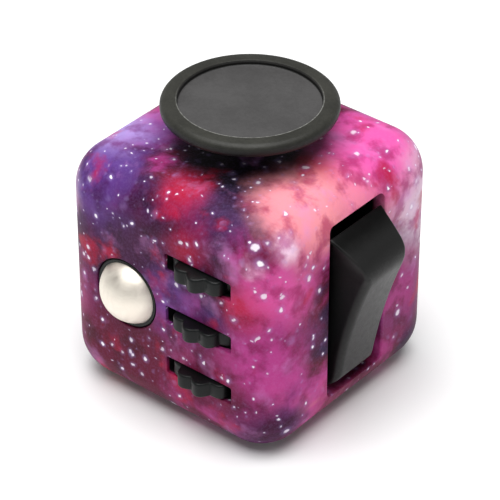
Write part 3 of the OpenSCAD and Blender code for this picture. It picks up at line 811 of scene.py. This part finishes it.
def soften(x, z):
    """Edge rounding: broad along the front, finer at the ends."""
    inside = max(0.0, min(1.0, (9.6 - abs(z)) / 1.6))
    forward = max(0.0, min(1.0, (x - 7.5) / 0.8))
    return 0.35 + 0.65 * inside * forward


def inset(points, amounts):
    """Moves a closed outline inwards along its normals."""
    out = []
    n = len(points)
    for i in range(n):
        a, b, c = points[i - 1], points[i], points[(i + 1) % n]
        t = Vector((c[0] - a[0], c[1] - a[1]))
        t.normalize()
        out.append((b[0] - t.y * amounts[i], b[1] + t.x * amounts[i]))
    return out


def rocker_loop(amount, side, pull):
    """Outline at one side; pull moves it in from the full half width."""
    soft = [soften(x, z) for x, z in outline]
    pts = inset(outline, [amount * r for r in soft])
    res = []
    for (x, z), (ox, oz), r in zip(pts, outline, soft):
        y = side * (rocker_half_width(ox) - pull * r)
        rx = x * math.cos(tilt) + z * math.sin(tilt)
        rz = z * math.cos(tilt) - x * math.sin(tilt)
        res.append(Vector((pivot.x + rx, y, pivot.z + rz)))
    return res


stages = []
for a in (0, 15, 30, 45, 60, 75, 90):
    t = math.radians(a)
    stages.append((1 - math.sin(t), 1 - math.cos(t)))
loops = [rocker_loop(flank_inset, -1, 0.0)]
loops += [rocker_loop(i, -1, p) for i, p in stages]
loops += [rocker_loop(i, 1, p) for i, p in reversed(stages)]
loops += [rocker_loop(flank_inset, 1, 0.0)]
verts, faces = loft(loops)
rocker = new_object("rocker_skin", verts, faces, 32)
key_front = (math.cos(tilt), 0.0, -math.sin(tilt))
finish_piece(rocker, "rocker", rocker_plastic("rocker_dark", tuple(pivot), key_front, front_x))

# ---------------------------------------------------------------- click buttons

cap_r, flange_r, plunger_r = 2.55, 3.15, 1.1
for name in button_names:
    low, high = span_of(name)
    c = (low + high) / 2
    foot, top = low.y, high.y
    back, front = foot + 1.3, foot + 2.3
    profile = [(0.0, foot), (plunger_r - 0.2, foot), (plunger_r, foot + 0.2), (plunger_r, back)]
    profile += [(flange_r - 0.1, back), (flange_r, back + 0.1)]
    profile += [(flange_r, front - 0.1), (flange_r - 0.1, front), (cap_r, front)]
    profile += arc(cap_r - 0.55, top - 0.68, 0.55, 0, 70, 8)
    edge_x, edge_y = profile[-1]
    profile += [(edge_x * k, top - (top - edge_y) * k * k) for k in (0.8, 0.6, 0.4, 0.2, 0.0)]
    verts, faces = lathe(profile, (c.x, 0, c.z), (0, 1, 0), 72)
    finish_piece(new_object(name + "_skin", verts, faces, 35), name, BUTTON_DARK)

# ---------------------------------------------------------------- spin dial

low, high = span_of("spin_dial")
dial_r, notch_r, notch_deep, notches = 6.2, 1.3, 0.4, 12
base_x = -half + 0.6
dial_h = base_x - low.x
bowl_r, bowl_deep = 10.0, 0.7


def dial_edge(a):
    """Outer radius of the notched rim at angle a."""
    off = (a + math.pi / notches) % (2 * math.pi / notches) - math.pi / notches
    reach = dial_r + notch_r - notch_deep
    side = reach * math.sin(off)
    if abs(side) >= notch_r:
        return dial_r
    cut_at = reach * math.cos(off) - math.sqrt(notch_r ** 2 - side ** 2)
    crisp = 9           # how sharply rim and notch meet
    return -math.log(math.exp(-crisp * dial_r) + math.exp(-crisp * cut_at)) / crisp


def dial_loop(height, inset_by=0.0, notched=1.0, radius=None):
    """One loop round the dial, a plain circle when a radius is given."""
    loop = []
    for k in range(288):
        a = 2 * math.pi * k / 288
        r = radius if radius is not None else dial_r + (dial_edge(a) - dial_r) * notched - inset_by
        loop.append(Vector((base_x - height, r * math.cos(a), mid + r * math.sin(a))))
    return loop


shaft_r, shaft_len, thread_r = 1.65, 3.3, 0.7
loops = [dial_loop(0.4, radius=0.002), dial_loop(0.4, radius=thread_r)]
loops += [dial_loop(-shaft_len, radius=thread_r), dial_loop(-shaft_len, radius=shaft_r)]
loops += [dial_loop(0.0, radius=shaft_r)]
loops += [dial_loop(h, by, 0.0) for h, by in ((0.0, 0.35), (0.1, 0.1), (0.35, 0.0), (0.58, 0.0))]
loops += [dial_loop(0.66, 0.0, 0.9), dial_loop(0.8, 0.0, 1.0)]
for t in (math.radians(a) for a in (0, 15, 30, 45, 60, 75, 90)):
    loops.append(dial_loop(dial_h - 0.5 + 0.5 * math.sin(t), 0.5 - 0.5 * math.cos(t)))
rim = math.sqrt(2 * bowl_r * bowl_deep - bowl_deep ** 2)
loops += [dial_loop(dial_h, radius=rim + 0.35), dial_loop(dial_h - 0.03, radius=rim + 0.12)]
for k in (0.97, 0.85, 0.7, 0.5, 0.3, 0.1, 0.001):
    drop = bowl_deep - bowl_r + math.sqrt(bowl_r ** 2 - (rim * k) ** 2)
    loops.append(dial_loop(dial_h - drop, radius=rim * k))
verts, faces = loft(loops)
finish_piece(new_object("spin_dial_skin", verts, faces, 35), "spin_dial", BUTTON_DARK)

# ---------------------------------------------------------------- springs


def coil(name, node, start, direction, coil_r, wire_r, length, turns):
    """Closed and ground compression spring as one tube."""
    d, u, w = frame_of(direction)
    c = Vector(start)
    per_turn, around = 36, 10
    n = per_turn * (turns + 2)
    path = []
    for k in range(n + 1):
        t = k / per_turn
        rise = wire_r * 2 * min(t, 1) + wire_r * 2 * max(t - turns - 1, 0)
        rise += (length - 6 * wire_r) * max(0.0, min(1.0, (t - 1) / turns))
        a = 2 * math.pi * t
        path.append(c + d * (wire_r + rise) + (u * math.cos(a) + w * math.sin(a)) * coil_r)
    rings = []
    for k, here in enumerate(path):
        ahead = (path[min(k + 1, n)] - path[max(k - 1, 0)]).normalized()
        out = (here - c) - d * (here - c).dot(d)
        out.normalize()
        side = ahead.cross(out).normalized()
        turn = [2 * math.pi * j / around for j in range(around)]
        rings.append([here + (out * math.cos(a) + side * math.sin(a)) * wire_r for a in turn])
    verts, faces = loft(rings)
    finish_piece(new_object(name, verts, faces, 60), node, SPRING)


low, high = span_of("ball_spring")
coil("ball_spring_skin", "ball_spring", (ball_c.x, low.y, ball_c.z), (0, 1, 0),
     coil_r=2.3, wire_r=0.25, length=high.y - low.y, turns=4)
coil("rocker_spring_skin", "rocker_spring", tuple(pivot), key_front,
     coil_r=0.9, wire_r=0.2, length=4.5, turns=5)

# ---------------------------------------------------------------- stage, light, camera

floor_z, floor_reach = -0.03, 900
corners = [(x * floor_reach, y * floor_reach, floor_z) for x, y in SQUARE]
floor = new_object("floor", corners, [(0, 1, 2, 3)])
s = Shader("pale_floor")
s.set("Base Color", s.mix(s.noise(0.02, 2.0), (0.93, 0.93, 0.93), (0.94, 0.94, 0.94)))
s.set("Roughness", 0.6)
s.set("Specular IOR Level", 0.2)
floor.data.materials.append(s.mat)

world = bpy.data.worlds.new("studio")
bpy.context.scene.world = world
world.use_nodes = True
sky = world.node_tree.nodes
links = world.node_tree.links
where = sky.new("ShaderNodeTexCoord")
height = sky.new("ShaderNodeSeparateXYZ")
glow = sky.new("ShaderNodeMapRange")
links.new(where.outputs["Generated"], height.inputs[0])
links.new(height.outputs[2], glow.inputs["Value"])
for name, value in (("From Min", 0.1), ("From Max", 0.6), ("To Min", 0.7), ("To Max", 0.1)):
    glow.inputs[name].default_value = value
sky["Background"].inputs[0].default_value = (1, 1, 1, 1)
links.new(glow.outputs["Result"], sky["Background"].inputs[1])


light_at, light_size, light_watts = Vector((10, -50, 420)), 420, 3.0
light_data = bpy.data.lights.new("top_soft", "AREA")
light_data.shape = "RECTANGLE"
light_data.size = light_size * MM
light_data.size_y = light_size * MM
light_data.energy = light_watts
light = bpy.data.objects.new("top_soft", light_data)
bpy.context.collection.objects.link(light)
light.location = light_at * MM
light.rotation_mode = "QUATERNION"
light.rotation_quaternion = (-light_at).to_track_quat("-Z", "Y")
bpy.context.scene.view_settings.view_transform = "Standard"

# camera at the picture's angle, aimed at the middle of the case
az, el, away = math.radians(39.6), math.radians(34.95), 330
back = Vector((math.sin(az) * math.cos(el), -math.cos(az) * math.cos(el), math.sin(el)))
cam_data = bpy.data.cameras.new("camera")
cam_data.lens, cam_data.sensor_width = 194.04, 36
cam_data.clip_start, cam_data.clip_end = 0.01, 10
cam = bpy.data.objects.new("camera", cam_data)
bpy.context.collection.objects.link(cam)
cam.location = (Vector((0, 0, mid)) + back * away) * MM
cam.rotation_mode = "QUATERNION"
cam.rotation_quaternion = (-back).to_track_quat("-Z", "Y")
bpy.context.scene.camera = cam
